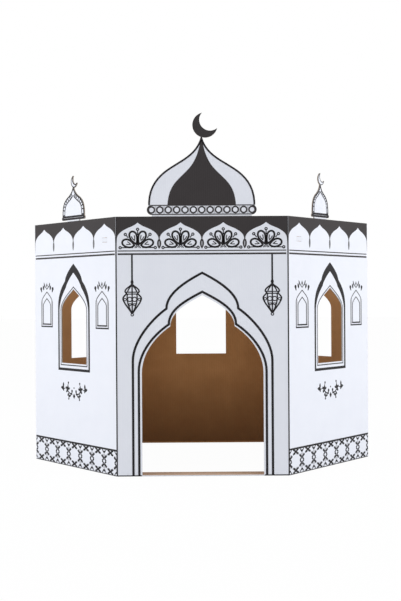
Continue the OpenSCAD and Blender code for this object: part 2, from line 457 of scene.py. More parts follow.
def set_input(modifier, name, value):
    """Sets a named input of a Geometry Nodes modifier by its identifier."""
    for item in modifier.node_group.interface.items_tree:
        if item.item_type == "SOCKET" and item.in_out == "INPUT" and item.name == name:
            modifier[item.identifier] = value
            return
    raise ValueError(f"the tree has no input named {name}")


def stamp(context, name, drawing, places, kind, count=1, pitch=0.0, height=0.0):
    """Repeats a drawing on the given panels in a kind of ink with Geometry Nodes, as one plain piece."""
    piece = bpy.data.objects.new(name, drawing.mesh(name + "_drawing"))
    points = bpy.data.meshes.new(name + "_points")
    points.from_pydata([(x, y, height) for x, y, _ in places], [], [])
    turns = points.attributes.new("turn", "FLOAT", "POINT")
    turns.data.foreach_set("value", [a for _, _, a in places])
    panels = bpy.data.objects.new(name + "_panels", points)
    context.scene.collection.objects.link(piece)
    context.scene.collection.objects.link(panels)
    modifier = piece.modifiers.new("print_rows", "NODES")
    modifier.node_group = shared(print_rows)
    set_input(modifier, "Count", count)
    set_input(modifier, "Pitch", pitch)
    set_input(modifier, "Panels", panels)
    set_input(modifier, "Ink", ink(context, kind))
    context.view_layer.update()
    evaluated = piece.evaluated_get(context.evaluated_depsgraph_get())
    printed = bpy.data.meshes.new_from_object(evaluated)
    printed.name = name
    piece.modifiers.clear()
    piece.data = printed
    bpy.data.objects.remove(panels)
    if not printed.polygons:
        raise RuntimeError(f"{name} came out empty")
    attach(piece, BODY)


def flute_ribs():
    """Shader group for the upright flutes that show through the paper."""
    tree, start = node_group(
        "flute_ribs", "ShaderNodeTree", {"Place": "Vector", "Pitch": "Float"}, {"Rib": "Float"}
    )
    split = new_node(tree, "ShaderNodeSeparateXYZ", {"Vector": (start, "Place")})
    turns = maths(tree, "DIVIDE", (split, "X"), (start, "Pitch"))
    angle = maths(tree, "MULTIPLY", (turns, 0), 2 * math.pi)
    wave = maths(tree, "SINE", (angle, 0))
    rib = maths(tree, "MULTIPLY_ADD", (wave, 0), 0.5, 0.5)
    new_node(tree, "NodeGroupOutput", {"Rib": (rib, 0)})
    return tree


def paper_fibre():
    """Shader group for the cloudy tone, the fibres and the flecks of paper."""
    tree, start = node_group(
        "paper_fibre", "ShaderNodeTree", {"Place": "Vector", "Fineness": "Float"},
        {"Cloud": "Float", "Fibre": "Float", "Fleck": "Float"},
    )
    cloud = new_node(tree, "ShaderNodeTexNoise", {"Vector": (start, "Place"), "Scale": 14.0, "Detail": 3.0})
    stretch = new_node(
        tree, "ShaderNodeVectorMath", {0: (start, "Place"), 1: (1.0, 1.0, 0.22)}, operation="MULTIPLY"
    )
    grain = {"Vector": (stretch, "Vector"), "Scale": (start, "Fineness")}
    fibre = new_node(tree, "ShaderNodeTexNoise", {**grain, "Detail": 4.0, "Roughness": 0.62})
    speck = new_node(tree, "ShaderNodeTexVoronoi", grain)
    near = new_node(tree, "ShaderNodeMapRange", {
        "Value": (speck, "Distance"), "From Min": 0.16, "From Max": 0.07,
    })
    new_node(tree, "NodeGroupOutput", {
        "Cloud": (cloud, "Fac"), "Fibre": (fibre, "Fac"), "Fleck": (near, "Result"),
    })
    return tree


class Paper:
    """A paper material while its nodes are put together."""

    def __init__(self, context, name, fineness):
        self.material = bpy.data.materials.new(name)
        self.material.use_nodes = True
        self.tree = self.material.node_tree
        self.shader = self.tree.nodes["Principled BSDF"]
        feed(self.tree, self.shader, {"Specular IOR Level": 0.2})
        self.place = new_node(self.tree, "ShaderNodeAttribute", attribute_name=PLACE)
        self.fibre = self.effect(paper_fibre, {"Fineness": fineness})
        self.ribs = self.effect(flute_ribs, {"Pitch": context.scene.playhouse_sizes.flute_pitch})

    def effect(self, build, inputs):
        """A shared effect at the place on the panel."""
        inputs["Place"] = (self.place, "Vector")
        return new_node(self.tree, "ShaderNodeGroup", inputs, node_tree=shared(build))

    def axes(self):
        """A node with the distances along, into and up the board."""
        return new_node(self.tree, "ShaderNodeSeparateXYZ", {"Vector": (self.place, "Vector")})

    def tone(self, mask, first, second):
        """A colour that runs from the first to the second with a mask."""
        node = new_node(self.tree, "ShaderNodeMix", {0: mask}, data_type="RGBA")
        ends = [i for i, socket in enumerate(node.inputs) if socket.type == "RGBA"]
        for i, value in zip(ends, (first, second)):
            feed(self.tree, node, {i: value if isinstance(value, tuple) else (*value, 1.0)})
        return node, next(i for i, socket in enumerate(node.outputs) if socket.type == "RGBA")

    def layered(self, base, *layers):
        """A base colour with others laid over it, each through a mask at a strength."""
        for mask, strength, over in layers:
            faded = maths(self.tree, "MULTIPLY", mask, strength)
            base = self.tone((faded, 0), base, over)
        return base

    def worn(self, base, over, cloud, rib, grain):
        """A base colour with another over it at the strengths of the clouds, the flutes and the fibres."""
        return self.layered(
            base,
            ((self.fibre, "Cloud"), cloud, over),
            ((self.ribs, "Rib"), rib, over),
            ((self.fibre, "Fibre"), grain, over),
        )

    def finished(self, base, smoothest, roughest, rib_depth):
        """The material, with its colour, roughness and relief joined to its shader."""
        roughness = new_node(self.tree, "ShaderNodeMapRange", {
            "Value": (self.fibre, "Fibre"), "To Min": smoothest, "To Max": roughest,
        })
        grain = maths(self.tree, "MULTIPLY", (self.fibre, "Fibre"), 0.35)
        height = maths(self.tree, "MULTIPLY_ADD", (self.ribs, "Rib"), rib_depth, (grain, 0))
        bump = new_node(self.tree, "ShaderNodeBump", {
            "Height": (height, 0), "Strength": 0.35, "Distance": 0.4 * MM,
        })
        feed(self.tree, self.shader, {
            "Base Color": base, "Roughness": (roughness, "Result"), "Normal": (bump, "Normal"),
        })
        return self.material


def white_liner(context):
    """White printed liner on the outside of the board."""
    colours = context.scene.playhouse_colours
    paper = Paper(context, "white_liner", WHITE_FINENESS)
    base = paper.worn(colours.white, colours.white_shade, cloud=0.5, rib=0.12, grain=0.16)
    return paper.finished(base, smoothest=0.42, roughest=0.6, rib_depth=0.5)


def kraft_liner(context):
    """Brown liner on the inside of the board, with painted shade that darkens it towards the floor where it
    stands.
    """
    colours = context.scene.playhouse_colours
    paper = Paper(context, "kraft_liner", BROWN_FINENESS)
    feed(paper.tree, paper.shader, {"Sheen Weight": 0.4})
    up = (paper.axes(), "Z")
    # Painted shade: the kraft darkens from 310 mm down to 10 mm above the floor, but not on the flap that
    # lies on the floor.
    shade_top = 310.0 * MM
    shade_low = 10.0 * MM
    above_flap = 6.0 * MM
    foot = new_node(paper.tree, "ShaderNodeMapRange", {
        "Value": up, "From Min": shade_top, "From Max": shade_low,
    })
    standing = maths(paper.tree, "GREATER_THAN", up, above_flap)
    shaded = maths(paper.tree, "MULTIPLY", (foot, "Result"), (standing, 0))
    fibrous = paper.worn(colours.kraft, colours.kraft_shade, cloud=1.0, rib=0.28, grain=0.4)
    base = paper.layered(
        fibrous,
        ((paper.fibre, "Fleck"), 0.35, colours.fleck),
        # Painted shade towards the floor, laid over the fibrous kraft.
        ((shaded, 0), 0.75, colours.kraft_foot),
    )
    return paper.finished(base, smoothest=0.72, roughest=0.92, rib_depth=0.8)


def ink(context, kind):
    """Printed ink of a kind, a little paler where the flutes and the fibres show through."""
    name = kind + "_print"
    found = bpy.data.materials.get(name)
    if found:
        return found
    colours = context.scene.playhouse_colours
    paper = Paper(context, name, WHITE_FINENESS)
    solid = getattr(colours, kind)
    base = paper.worn(solid, getattr(colours, kind + "_worn"), cloud=0.6, rib=0.25, grain=0.3)
    return paper.finished(base, smoothest=0.46, roughest=0.66, rib_depth=0.5)


def cut_edge(context):
    """Cut edge of the board, with the fluted paper between its two liners."""
    colours = context.scene.playhouse_colours
    paper = Paper(context, "cut_edge", BROWN_FINENESS)
    tree = paper.tree
    inward = (paper.axes(), "Y")
    wave_h = 0.7
    wave_low = 0.15
    liner_t = 0.1
    crest = maths(tree, "MULTIPLY_ADD", (paper.ribs, "Rib"), wave_h, wave_low)
    off_crest = maths(tree, "SUBTRACT", inward, (crest, 0))
    away = maths(tree, "ABSOLUTE", (off_crest, 0))
    fluting = new_node(tree, "ShaderNodeMapRange", {"Value": (away, 0), "From Min": 0.22, "From Max": 0.1})
    off_middle = maths(tree, "SUBTRACT", inward, 0.5)
    from_middle = maths(tree, "ABSOLUTE", (off_middle, 0))
    liner = maths(tree, "GREATER_THAN", (from_middle, 0), 0.5 - liner_t)
    outside = maths(tree, "LESS_THAN", inward, liner_t)
    fluted = paper.tone((paper.fibre, "Fibre"), colours.fluting, colours.fluting_shade)
    waved = paper.tone((fluting, "Result"), colours.hollow, fluted)
    lined = paper.tone((liner, 0), waved, fluted)
    base = paper.tone((outside, 0), lined, colours.white)
    return paper.finished(base, smoothest=0.75, roughest=0.95, rib_depth=0.3)


def on_panel(point, place):
    """Distances of a point along a panel from its middle and out from its outer face."""
    x, y, a = place
    along = (point.x - x) * math.cos(a) + (point.y - y) * math.sin(a)
    out = (point.x - x) * math.sin(a) - (point.y - y) * math.cos(a)
    return along, out


def panel_of(point, places, sizes):
    """The place of the panel that a point belongs to."""

    def astray(place):
        """How far the point lies off a panel."""
        along, out = on_panel(point, place)
        beyond = max(0.0, abs(along) - sizes.panel_w / 2)
        return beyond + max(0.0, out) + max(0.0, -out - PAST_TWO * sizes.board_t)

    return min(places.values(), key=astray)


def on_fold(points, creases, sizes):
    """True where every point lies on the rounded outside of a fold."""
    for crease in creases:
        if all(abs(math.dist((p.x, p.y), crease) - sizes.board_t) < 0.1 * MM for p in points):
            return True
    return False


def dress(context, node, materials):
    """Gives the faces of a folded board their liner or cut edge and their place on the panel."""
    sizes = context.scene.playhouse_sizes
    places = panel_places(context)
    half_w, reach, _ = crease_ring(context)
    creases = [(sx * half_w, sy * reach) for sx in (-1, 1) for sy in (-1, 1)]
    mesh = node.data
    mesh.materials.clear()
    for material in materials:
        mesh.materials.append(material)
    outside, inside, edge = range(3)
    values = [0.0] * (3 * len(mesh.loops))
    for face in mesh.polygons:
        points = [mesh.vertices[i].co for i in face.vertices]
        place = panel_of(face.center, places, sizes)
        turn = place[2]
        facing = face.normal.x * math.sin(turn) - face.normal.y * math.cos(turn)
        flat_on_floor = max(p.z for p in points) < 1.5 * sizes.board_t
        kind = edge
        if facing > FACE_ON or (abs(face.normal.z) < LEVEL and on_fold(points, creases, sizes)):
            kind = outside
        elif facing < -FACE_ON:
            kind = inside
        elif flat_on_floor and abs(face.normal.z) > LEVEL:
            kind = inside if face.normal.z > 0 else outside
        face.material_index = kind
        behind = -on_panel(face.center, place)[1] > PAST_ONE * sizes.board_t
        for corner in face.loop_indices:
            point = mesh.vertices[mesh.loops[corner].vertex_index].co
            along, out = on_panel(point, place)
            depth = -out / sizes.board_t - (1.0 if behind else 0.0)
            values[3 * corner : 3 * corner + 3] = (along, depth, point.z)
    keep_place(mesh, "CORNER", values)


class PLAYHOUSE_OT_boards(bpy.types.Operator):
    """Give the folded walls and the domes their white and brown paper and their fluted cut edges"""

    bl_idname = "playhouse.boards"
    bl_label = "Boards"

    def execute(self, context):
        materials = (white_liner(context), kraft_liner(context), cut_edge(context))
        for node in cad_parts.values():
            dress(context, node, materials)
        return {"FINISHED"}


def frieze_arch(half_w, apex, pinch):
    """Left half of an arch of the frieze, from its lower left end up to its point."""
    drawn_w = 72.5
    drawn_h = 60.5
    wide = half_w / drawn_w
    rise = (apex - pinch) / drawn_h
    shoulder = curve((-drawn_w, -drawn_h), (-drawn_w, -36.5), (-41.0, -22.5), (-24.0, -15.5), 10)
    flick = curve((-24.0, -15.5), (-15.0, -11.7), (-7.0, -6.5), (0.0, 0.0), 6)
    return [(x * wide, apex + y * rise) for x, y in joined(shoulder, flick)]


def frieze_shape(panel_w, top, apex, pinch, drop, swell):
    """Outline of the black frieze: straight on top, with arches and hanging drops along its lower edge."""
    pitch = panel_w / ARCHES
    gap = 1.8
    arch = over_middle(frieze_arch(pitch / 2 - gap, apex, pinch))
    hang = over_middle(
        curve((-gap, pinch), (-10.4 * swell, pinch - 10.0), (-8.0 * swell, drop + 10.0), (0.0, drop), 8)
    )
    lower = [(-panel_w / 2, drop)]
    for i in range(ARCHES):
        middle = pitch * (i + 0.5) - panel_w / 2
        lower = joined(lower, [(middle + x, y) for x, y in arch])
        if i < ARCHES - 1:
            lower = joined(lower, [(middle + pitch / 2 + x, y) for x, y in hang])
    return [(panel_w / 2, drop), (panel_w / 2, top), (-panel_w / 2, top)] + lower


def frieze(context, name, places, apex, pinch, drop, swell):
    """Prints a black frieze with its grey drops and the two lines under it."""
    sizes = context.scene.playhouse_sizes
    panel_w = sizes.panel_w / MM
    line_z = sizes.frieze_line_z / MM
    bold = sizes.bold_w / MM
    fine = sizes.fine_w / MM
    fine_rise = 11.0
    line_end = panel_w / 2 - 4.5
    black = new_drawing(context)
    black.fill(frieze_shape(panel_w, sizes.wall_h / MM, apex, pinch, drop, swell))
    for z, width in ((line_z, bold), (line_z + fine_rise, fine)):
        black.box(-line_end, z - width / 2, line_end, z + width / 2)
    stamp(context, name, black, places, "black")
    core = new_drawing(context, OVER)
    core_z = (pinch + drop) / 2 + 1
    core_r = (pinch - drop) * 0.27
    core.dot((0.0, core_z), core_r, 12, squash=0.16 * swell * swell)
    stamp(context, name + "_cores", core, places, "grey", ARCHES - 1, sizes.panel_w / ARCHES)


def palmette(context):
    """Fan of four bold petals with ringed stems, drawn above the middle of its base."""
    upright = joined(
        curve((4.5, 13), (20, 21), (33, 37), (28, 50.5), 8),
        curve((28, 50.5), (24, 60), (11, 59.5), (5.3, 48.5), 8),
        curve((5.3, 48.5), (1, 38), (1.5, 24), (4.5, 13), 8),
    )[:-1]
    side = joined(
        curve((12, 9), (17, 20), (30, 31), (41, 30), 8),
        curve((41, 30), (56, 28), (58, 14), (47, 7.5), 8),
        curve((47, 7.5), (38, 0.5), (20, -1), (12, 9), 8),
    )[:-1]
    fan = new_drawing(context)
    fan.both([
        ("loop", 6.6, *upright),
        ("loop", 6.6, *side),
        ("line", 3.2, (22, 40), (17, 31), (11.5, 26), (10, 34), (12, 44)),
        ("line", 3.2, (36, 22), (28, 16), (25, 13), (31, 12), (40, 12)),
        ("leaf", 6.0, (10, 10), (27, 33)),
        ("line", 3.4, (33, 35), (39.5, 43.5)),
        ("ring", BEAD, (43, 47)),
        ("line", 3.4, (16, 1), (57, 1)),
        ("ring", BEAD, (61, 1)),
    ])
    fan.sketch([
        ("line", 4.4, (0, 13), (0, 39)),
        ("line", 3.4, (0, 45), (0, 60.5)),
        ("ring", BEAD, (0, 64.5)),
        ("line", 3.2, (-10.5, 0), (0, 11.5), (10.5, 0)),
        ("line", 2.0, (-5.5, 0), (0, 5.5), (5.5, 0)),
    ])
    return fan


class PLAYHOUSE_OT_friezes(bpy.types.Operator):
    """Print the arched friezes along the tops of the walls and the palmettes over the doorway"""

    bl_idname = "playhouse.friezes"
    bl_label = "Friezes"

    def execute(self, context):
        sizes = context.scene.playhouse_sizes
        places = panel_places(context)
        front = [places["front"]]
        walls = [places[n] for n in WALL_PANELS]
        frieze(context, "front_frieze", front, apex=884.0, pinch=827.0, drop=792.0, swell=1.0)
        frieze(context, "wall_friezes", walls, apex=885.0, pinch=832.0, drop=797.0, swell=0.7)
        base_z = 796.0 * MM
        pitch = sizes.panel_w / ARCHES
        stamp(context, "palmettes", palmette(context), front, "line", ARCHES, pitch, base_z)
        return {"FINISHED"}


def door_line(half_w, spring_z, cusp, apex_z, lean):
    """Right half of a printed line round the doorway, from the floor up to its point."""
    shoulder = curve(
        (half_w, spring_z), (half_w, spring_z + 70), (cusp[0] + 50, cusp[1] - lean), cusp, 14
    )
    head = curve(cusp, (cusp[0], cusp[1] + 52), (58, apex_z - 30), (0.0, apex_z), 14)
    return joined([(half_w, 1.0)], shoulder, head)


def crease_band(context, crease, start, sweep, low, spill, lift):
    """Points and faces of a line that wraps the rounded outside of a fold, from a height to the top."""
    sizes = context.scene.playhouse_sizes
    rims = []
    for radius in (sizes.board_t + lift, sizes.board_t - INK_ROOT):
        rim = arc(crease, radius, start, sweep, 6)
        ends = []
        for (x, y), angle, way in ((rim[0], start, -1), (rim[-1], start + sweep, 1)):
            ends.append((x - way * spill * math.sin(angle), y + way * spill * math.cos(angle)))
        rims.append([ends[0], *rim, ends[1]])
    outline = rims[0] + rims[1][::-1]
    count = len(outline)
    verts = [(x, y, z) for z in (low, sizes.wall_h) for x, y in outline]
    faces = [(i, (i + 1) % count, count + (i + 1) % count, count + i) for i in range(count)]
    for i in range(count // 2 - 1):
        cap = (i, count - 1 - i, count - 2 - i, i + 1)
        faces.append(cap)
        faces.append(tuple(count + j for j in reversed(cap)))
    return verts, faces


def fold_piece(context, name, kind, low, spill, share=1.0, layer=1.0):
    """Prints a line along the given share of each rounded fold, as one piece."""
    sizes = context.scene.playhouse_sizes
    half_w, reach, turn = crease_ring(context)
    quarter = math.pi / 2
    verts = []
    faces = []
    for crease, start in (
        ((half_w, -reach), -quarter),
        ((half_w, reach), quarter - turn),
        ((-half_w, reach), quarter),
        ((-half_w, -reach), -quarter - turn),
    ):
        band_verts, band_faces = crease_band(
            context, crease, start + turn * (1.0 - share) / 2, turn * share,
            low, spill, sizes.ink_lift * layer,
        )
        faces += [tuple(len(verts) + i for i in f) for f in band_faces]
        verts += band_verts
    mesh = bpy.data.meshes.new(name)
    mesh.from_pydata(verts, [], faces)
    keep_place(mesh, "POINT", [c for v in verts for c in v])
    mesh.materials.append(ink(context, kind))
    piece = bpy.data.objects.new(name, mesh)
    context.scene.collection.objects.link(piece)
    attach(piece, BODY)


class PLAYHOUSE_OT_door_lines(bpy.types.Operator):
    """Print the two cusped lines round the doorway and the lines along the folds"""

    bl_idname = "playhouse.door_lines"
    bl_label = "Door lines"

    def execute(self, context):
        sizes = context.scene.playhouse_sizes
        width = sizes.door_line_w / MM
        inner = door_line(half_w=222.5, spring_z=364.0, cusp=(117.0, 529.0), apex_z=642.0, lean=33.0)
        outer = door_line(half_w=243.0, spring_z=402.0, cusp=(125.0, 584.0), apex_z=708.0, lean=35.0)
        lines = new_drawing(context)
        lines.line(over_middle(inner), width)
        lines.line(over_middle(outer), width)
        corner = sizes.panel_w / MM / 2
        jamb = 214.0
        lines.both([("fill", None, (corner, 0.4), (corner, 4.4), (jamb, 4.4), (jamb, 0.4))])
        stamp(context, "door_lines", lines, [panel_places(context)["front"]], "line")
        fold_piece(context, "fold_lines", "line", low=1.0 * MM, spill=0.8 * MM)
        fold_piece(context, "fold_wear", "grey", low=835.0 * MM, spill=0.05 * MM, share=0.17, layer=1.5)
        return {"FINISHED"}


class PLAYHOUSE_OT_lanterns(bpy.types.Operator):
    """Print the two lanterns that hang from the frieze beside the doorway"""

    bl_idname = "playhouse.lanterns"
    bl_label = "Lanterns"

    def execute(self, context):
        sizes = context.scene.playhouse_sizes
        lantern = new_drawing(context)
        chain = (sizes.frieze_line_z - sizes.lantern_z) / MM
        lantern.box(-3.0, -1.0, 3.0, chain)
        lantern.dot((0, -6), 8.0, 14, squash=0.66)
        crown = joined(curve((0, -11), (6, -22), (25, -27), (24.6, -39)), [(24.6, -39), (18.5, -46)])
        bowl = joined(
            curve((18.5, -45), (25, -52), (34, -58), (31.5, -66)),
            curve((31.5, -66), (27, -81), (13, -95), (1.5, -114)),
        )
        lantern.both([
            ("line", 5.0, *crown),
            ("line", 5.2, *bowl),
            ("line", 4.2, *curve((0, -11), (3, -23), (15, -28), (15.5, -41))),
            ("line", 4.2, *curve((15.5, -46), (21, -62), (15, -90), (0, -114))),
            ("ring", (7.6, 3.4, 16), (8.4, -65.5)),
            ("ring", (4.4, 2.6, 12), (24.8, -66)),
            ("line", 3.0, (16.5, -80), (8, -88), (0, -82)),
        ])
        lantern.sketch([
            ("line", 4.6, (0, -11), (0, -114)),
            ("line", 3.6, (-23, -40.5), (23, -40.5)),
            ("line", 3.8, (-19, -47.0), (19, -47.0)),
            ("line", 3.4, (-17, -81), (17, -81)),
            ("ring", (4.4, 3.2, 14), (0, -119)),
        ])
        front = [panel_places(context)["front"]]
        stamp(context, "lanterns", lantern, front, "line", 2, 2 * sizes.lantern_x, sizes.lantern_z)
        return {"FINISHED"}


def pointed(half_w, foot, spring, apex, steps=12):
    """Right half of a pointed opening, from its foot up to its point."""
    rise = apex - spring
    arch = curve(
        (half_w, spring), (half_w, spring + 0.38 * rise),
        (0.42 * half_w, apex - 0.29 * rise), (0.0, apex), steps,
    )
    return joined([(half_w, foot)], arch)


def window_print(context, half_w):
    """Bold frame with a pinched head and a fine line inside it, for an opening of the given half width."""
    sizes = context.scene.playhouse_sizes
    frame_ink = new_drawing(context)
    border = 25.0
    drawn_w = 117.0
    wide = (half_w + border) / drawn_w
    outer = joined(
        [(drawn_w, 353.5)],
        curve((drawn_w, 589.0), (116.0, 625.0), (100.0, 657.0), (64.0, 684.5)),
        curve((64.0, 684.5), (59.0, 707.0), (30.0, 729.0), (0.0, 749.0)),
    )
    inner = joined(
        [(107.0, 363.0)],
        curve((107.0, 578.0), (104.0, 606.0), (88.0, 634.0), (57.0, 661.0)),
        curve((57.0, 661.0), (52.0, 675.0), (27.0, 698.0), (0.0, 716.0)),
    )
    outer, inner = ([(x * wide, y) for x, y in over_middle(half)] for half in (outer, inner))
    frame_ink.fill(outer, [inner])
    fine = sizes.fine_w / MM
    opening = pointed(half_w + 4.5, foot=374.0, spring=577.0, apex=663.0)
    frame_ink.line(over_middle(opening), fine, closed=True)
    return frame_ink


class PLAYHOUSE_OT_window_frames(bpy.types.Operator):
    """Print the frames round the windows"""

    bl_idname = "playhouse.window_frames"
    bl_label = "Window frames"

    def execute(self, context):
        places = panel_places(context)
        slanting = [places[n] for n in WALL_PANELS if n != "back"]
        stamp(context, "window_frames", window_print(context, 92.0), slanting, "line")
        stamp(context, "back_window_frame", window_print(context, 106.0), [places["back"]], "line")
        return {"FINISHED"}


class PLAYHOUSE_OT_niches(bpy.types.Operator):
    """Print the small shaded niches beside the windows, with a sprig over each"""

    bl_idname = "playhouse.niches"
    bl_label = "Niches"

    def execute(self, context):
        sizes = context.scene.playhouse_sizes
        places = panel_places(context)
        panels = [places[n] for n in WALL_PANELS]
        lines = new_drawing(context)
        lines.line(over_middle(pointed(43.0, foot=514.0, spring=604.0, apex=646.0)), 3.4)
        lines.line(over_middle(pointed(29.0, foot=524.0, spring=592.0, apex=621.0)), 3.4)
        lines.line([(-45, 514.5), (45, 514.5)], 5.0)
        lines.line([(-34, 523.5), (34, 523.5)], 5.0)
        lines.both([
            ("leaf", 7.0, (15, 662), (24, 682)),
            ("leaf", 10.5, (24, 652), (30, 671)),
            ("dot", (6.8, 10), (46, 658)),
            ("leaf", 7.5, (47, 658), (41, 644)),
            ("line", 3.0, (3, 659), (9, 662), (13, 668)),
        ])
        lines.fill([(0, 662), (5, 671), (0, 680), (-5, 671)])
        lines.line([(-5, 659), (0, 656), (5, 659)], 3.0)
        stamp(context, "niches", lines, panels, "line", 2, 2 * sizes.niche_x)
        shade = new_drawing(context, UNDER)
        shade.both([("fill", None, (31, 524), (42, 516), (42, 606), (37, 622), (31, 600))])
        stamp(context, "niche_shades", shade, panels, "grey", 2, 2 * sizes.niche_x)
        return {"FINISHED"}


class PLAYHOUSE_OT_garlands(bpy.types.Operator):
    """Print a garland of leaves under each window"""

    bl_idname = "playhouse.garlands"
    bl_label = "Garlands"

    def execute(self, context):
        places = panel_places(context)
        leaves = new_drawing(context)
        leaves.both([
            ("leaf", 10.5, (80, 288), (79, 309)),
            ("leaf", 13.0, (72, 286), (98, 290)),
            ("leaf", 9.0, (82, 288), (76, 276)),
            ("line", 2.6, (74, 285), (62, 289), (52, 286)),
            ("dot", (4.4, 10), (42, 309)),
            ("line", 3.2, (42, 307), (48, 295), (46, 284)),
            ("leaf", 11.0, (45, 282), (45, 300)),
            ("leaf", 10.0, (46, 283), (62, 294)),
            ("leaf", 10.0, (46, 283), (59, 273)),
            ("leaf", 8.0, (43, 283), (31, 291)),
            ("line", 4.6, *curve((48, 283), (38, 268), (20, 265), (14, 275))),
            ("dot", (5.4, 10), (15, 279)),
            ("leaf", 8.0, (27, 270), (12, 267)),
            ("line", 3.4, (40, 272), (41, 263), (39, 253)),
            ("leaf", 8.0, (40, 270), (49, 260)),
            ("leaf", 8.0, (40, 265), (32, 255)),
            ("dot", (4.2, 10), (39.5, 250)),
            ("dot", (4.4, 10), (28, 262)),
        ])
        leaves.fill([(0, 251), (8.5, 261), (0, 271), (-8.5, 261)])
        leaves.dot((0, 291), 3.2, 8)
        stamp(context, "garlands", leaves, [places[n] for n in WALL_PANELS], "line")
        return {"FINISHED"}


class PLAYHOUSE_OT_baseboards(bpy.types.Operator):
    """Print the baseboards of white stars between dark knots"""

    bl_idname = "playhouse.baseboards"
    bl_label = "Baseboards"

    def execute(self, context):
        sizes = context.scene.playhouse_sizes
        panels = [panel_places(context)[n] for n in WALL_PANELS]
        count = 7
        pitch = sizes.panel_w / count
        half_w = pitch / MM / 2
        top = sizes.baseboard_h / MM
        middle = (top - 2.0) / 2
        knots = [
            ("line", 7.0, (19, 24), (-19, 42)),
            ("line", 8.2, (25, 20.5), (41, 10)),
            ("line", 5.4, (30, 0), (40.5, 9)),
            ("fill", None, (34, 1), (34, 8), (26, 2)),
            ("fill", None, (5, 31), (11, 22), (3, 25)),
            ("line", 3.8, (27, 43.5), (35, 35), (41, 29)),
            ("fill", None, (half_w, 28), (half_w, 39), (half_w - 5, 33.5)),
        ]
        grounds = [
            ("fill", None, (half_w, 13), (half_w - 13, 20), (half_w, 28)),
            ("fill", None, (3, 37), (17, 44), (3, 44)),
        ]
        tile = new_drawing(context)
        ground = new_drawing(context, UNDER)
        for up in (1, -1):
            tile.both(moved(knots, lambda x, y, up=up: (x, middle + up * y)))
            tile.dot((0.0, middle + up * 33.0), 4.4, 8)
            ground.both(moved(grounds, lambda x, y, up=up: (x, middle + up * y)))
        tile.box(-half_w, 0.4, half_w, 3.2)
        tile.box(-half_w, top - 6.6, half_w, top)
        stamp(context, "baseboards", tile, panels, "line", count, pitch)
        stamp(context, "baseboard_grounds", ground, panels, "grey", count, pitch)
        return {"FINISHED"}


def crescent_outline(radius, low):
    """Outline of a crescent that opens up and to the right."""
    centre = Vector((0.29 * radius, low + radius))
    bite_centre = centre + Vector((0.41, 0.41)) * radius
    bite = 0.86 * radius
    gap = (bite_centre - centre).length
    along = (radius * radius - bite * bite + gap * gap) / (2 * gap)
    away = math.acos(along / radius)
    back = math.acos((gap - along) / bite)
    heading = math.pi / 4
    steps = 28
    outer = arc(centre, radius, heading + away, 2 * math.pi - 2 * away, steps)
    inner = arc(bite_centre, bite, heading + math.pi + back, -2 * back, steps)
    return outer + inner[1:-1]


def round_bar(half_w, low, high, steps=10):
    """Outline of a bar with round ends."""
    radius = (high - low) / 2
    middle = (high + low) / 2
    points = []
    for side, first in ((1, -math.pi / 2), (-1, math.pi / 2)):
        points += arc((side * (half_w - radius), middle), radius, first, math.pi, steps)
    return points


def above(path, low):
    """The part of a rising path that lies above a height."""
    first = next(i for i, p in enumerate(path) if p[1] > low)
    (x0, y0), (x1, y1) = path[first - 1], path[first]
    share = (low - y0) / (y1 - y0)
    return [(x0 + share * (x1 - x0), low)] + path[first:]


def dome_side(half_w, foot, point, stem, bulge, waist, sweep):
    """Right edge of a dome, from its foot up to its stem, as the board is cut."""
    rise = point - foot
    turn = (waist[0] * half_w, foot + waist[1] * rise)
    body = curve(
        (half_w, foot), (bulge[0] * half_w, foot + bulge[1] * rise),
        (turn[0] + bulge[2] * half_w, turn[1] - bulge[3] * rise), turn,
    )
    neck = curve(
        turn, (turn[0] - sweep[0] * half_w, turn[1] + sweep[1] * rise),
        (stem / 2 + sweep[2] * half_w, foot + sweep[3] * rise), (stem / 2, point),
    )
    return joined(body, neck)


class PLAYHOUSE_OT_main_dome(bpy.types.Operator):
    """Print the main dome: black outline and middle, ringed band and black crescent"""

    bl_idname = "playhouse.main_dome"
    bl_label = "Main dome"

    def execute(self, context):
        sizes = context.scene.playhouse_sizes
        place = [dome_places(context)["main"]]
        edge = dome_side(
            half_w=186.0, foot=23.0, point=274.0, stem=6.0, bulge=(1.055, 0.416, 0.17, 0.08),
            waist=(0.483, 0.64), sweep=(0.162, 0.076, 0.078, 0.8),
        )
        outline = new_drawing(context)
        outline.strip(over_middle(above(edge, 39.0)), 6.6, 0.0)
        stamp(context, "main_dome_outline", outline, place, "line", height=sizes.wall_h)
        drop = joined(
            curve((119.5, 39.0), (115.4, 95.0), (97.6, 114.5), (68.2, 142.5)),
            curve((68.2, 142.5), (38.1, 171.4), (16.7, 190.0), (2.5, 264.0)),
        )
        black = new_drawing(context)
        black.fill(over_middle(drop))
        black.fill(crescent_outline(44.0, 274.0))
        black.box(-3.0, 267.0, 3.0, 280.0)
        black.fill(round_bar(191.5, 5.5, 40.5), [round_bar(187.9, 9.1, 36.9)])
        stamp(context, "main_dome_print", black, place, "black", height=sizes.wall_h)
        rings = new_drawing(context)
        rings.ring((0.0, 23.0), 10.7, 5.2, 20)
        count = 13
        pitch = 29.2 * MM
        stamp(context, "main_dome_rings", rings, place, "black", count, pitch, sizes.wall_h)
        bars = new_drawing(context, UNDER)
        bars.box(-2.6, 10.0, 2.6, 36.0)
        stamp(context, "main_dome_bars", bars, place, "grey", count - 1, pitch, sizes.wall_h)
        return {"FINISHED"}


